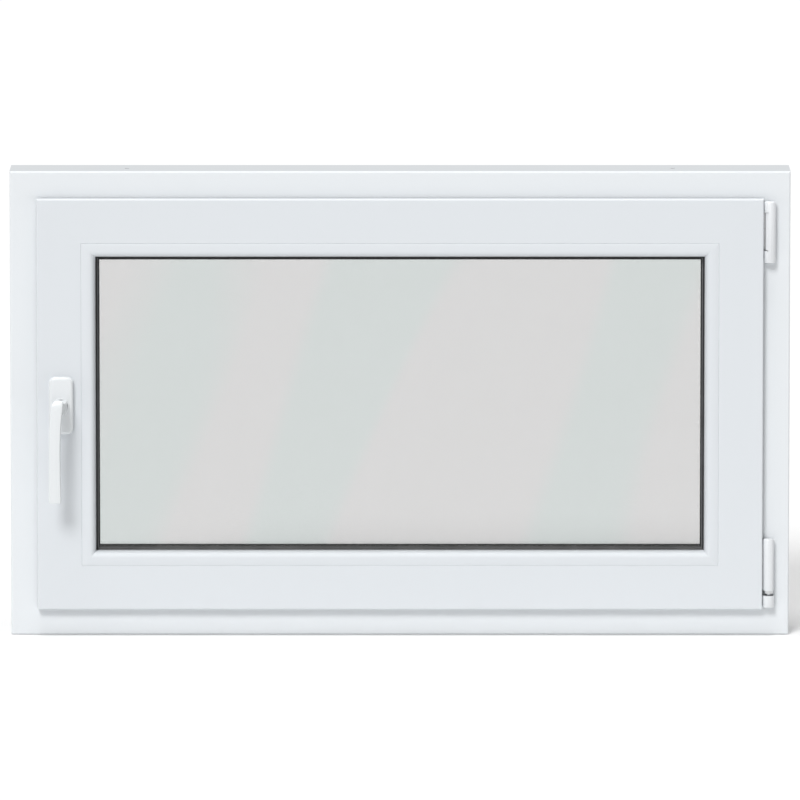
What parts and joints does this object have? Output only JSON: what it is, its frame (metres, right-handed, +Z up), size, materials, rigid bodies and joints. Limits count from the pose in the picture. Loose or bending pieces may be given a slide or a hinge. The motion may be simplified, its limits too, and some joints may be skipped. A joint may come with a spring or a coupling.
{
  "type": "tilt-and-turn window",
  "caption": "White plastic tilt-and-turn window with one sash that turns on right-hand hinges or tilts in, lever handle, locking drive and double glazing.",
  "frame": {"origin": "middle of the sill's bottom face, at half the fixed frame's depth", "axes": "+Z up, +X right as seen from the room, -Y into the room"},
  "size_m": [1, 0.1414, 0.6],
  "materials": {
    "pvc": "white extruded PVC, satin gloss",
    "cover_plastic": "white moulded plastic",
    "handle_paint": "white powder coat on die-cast metal",
    "galvanised": "galvanised steel",
    "zinc": "silver-passivated zinc and steel fittings",
    "screw_steel": "zinc-plated screws",
    "seal": "black glazing and weather seal",
    "sealant": "black butyl edge seal",
    "glass": "clear float glass",
    "spacer": "matt aluminium spacer",
    "block": "moulded glazing blocks",
    "bush": "dark acetal bush"
  },
  "bodies": {
    "frame": {"frame_head": "pvc", "frame_sill": "pvc", "frame_jamb_left": "pvc", "frame_jamb_right": "pvc", "frame_steel_bars": "galvanised", "frame_gasket": "seal", "strikers": "zinc", "tilt_striker": "zinc", "striker_screws": "screw_steel", "top_hinge_bearing": "zinc", "top_hinge_pin": "zinc", "top_hinge_cover": "cover_plastic", "bottom_bearing_base": "zinc", "bottom_bearing_cover": "cover_plastic", "hinge_screws": "screw_steel", "drain_caps": "cover_plastic"},
    "turn_bush": {"top_hinge_bush": "bush"},
    "sash": {"corner_bearing_pin": "zinc", "sash_top_rail": "pvc", "sash_bottom_rail": "pvc", "sash_stile_left": "pvc", "sash_stile_right": "pvc", "sash_steel_bars": "galvanised", "sash_gasket": "seal", "glass_inner_pane": "glass", "glass_outer_pane": "glass", "glass_spacer": "spacer", "edge_seal": "sealant", "glazing_blocks": "block", "outer_glass_gasket": "seal", "inner_glass_gasket": "seal", "bead_top": "pvc", "bead_bottom": "pvc", "bead_left": "pvc", "bead_right": "pvc", "bottom_hinge_band": "zinc", "bottom_hinge_cover": "cover_plastic", "band_screws": "screw_steel", "gear_case": "zinc", "faceplate_left": "zinc", "faceplate_top": "zinc", "faceplate_bottom": "zinc", "corner_drives": "zinc", "stay_guide": "zinc", "handle_base": "zinc", "handle_rosette": "handle_paint", "handle_screws": "screw_steel"},
    "handle": {"handle_lever": "handle_paint", "handle_spindle": "zinc", "gear_pinion": "zinc"},
    "drive_left": {"drive_rod_left": "zinc", "cam_left": "zinc"},
    "drive_top": {"drive_rod_top": "zinc", "cam_top": "zinc"},
    "drive_bottom": {"drive_rod_bottom": "zinc", "cam_bottom": "zinc"},
    "stay": {"stay_band": "zinc", "stay_band_cover": "cover_plastic", "stay_arm": "zinc"}
  },
  "joints": [
    {"name": "turn", "type": "hinge", "parent": "frame", "child": "turn_bush", "pos_m": [0.4735, -0.0426, 0.5225], "axis": [0, 0, 1], "range_deg": [0, 90]},
    {"name": "tilt", "type": "hinge", "parent": "turn_bush", "child": "sash", "pos_m": [0.4735, -0.0426, 0.044], "axis": [1, 0, 0], "range_deg": [0, 12]},
    {"name": "handle_turn", "type": "hinge", "parent": "sash", "child": "handle", "pos_m": [-0.43425, -0.06, 0.3], "axis": [0, -1, 0], "range_deg": [0, 180]},
    {"name": "left_rod_slide", "type": "slide", "parent": "sash", "child": "drive_left", "axis": [0, 0, -1], "range_m": [0, 0.0236]},
    {"name": "top_rod_slide", "type": "slide", "parent": "sash", "child": "drive_top", "axis": [-1, 0, 0], "range_m": [0, 0.0236]},
    {"name": "bottom_rod_slide", "type": "slide", "parent": "sash", "child": "drive_bottom", "axis": [1, 0, 0], "range_m": [0, 0.0236]},
    {"name": "stay_swing", "type": "hinge", "parent": "turn_bush", "child": "stay", "pos_m": [0.4735, -0.0426, 0.5225], "axis": [0, 0, 1], "range_deg": [0, 22]}
  ],
  "couplings": [
    {"joint": "left_rod_slide", "follows": "handle_turn", "m_per_rad": 0.0075},
    {"joint": "top_rod_slide", "follows": "handle_turn", "m_per_rad": 0.0075},
    {"joint": "bottom_rod_slide", "follows": "handle_turn", "m_per_rad": 0.0075},
    {"joint": "stay_swing", "follows": "tilt", "ratio": 1.804}
  ]
}
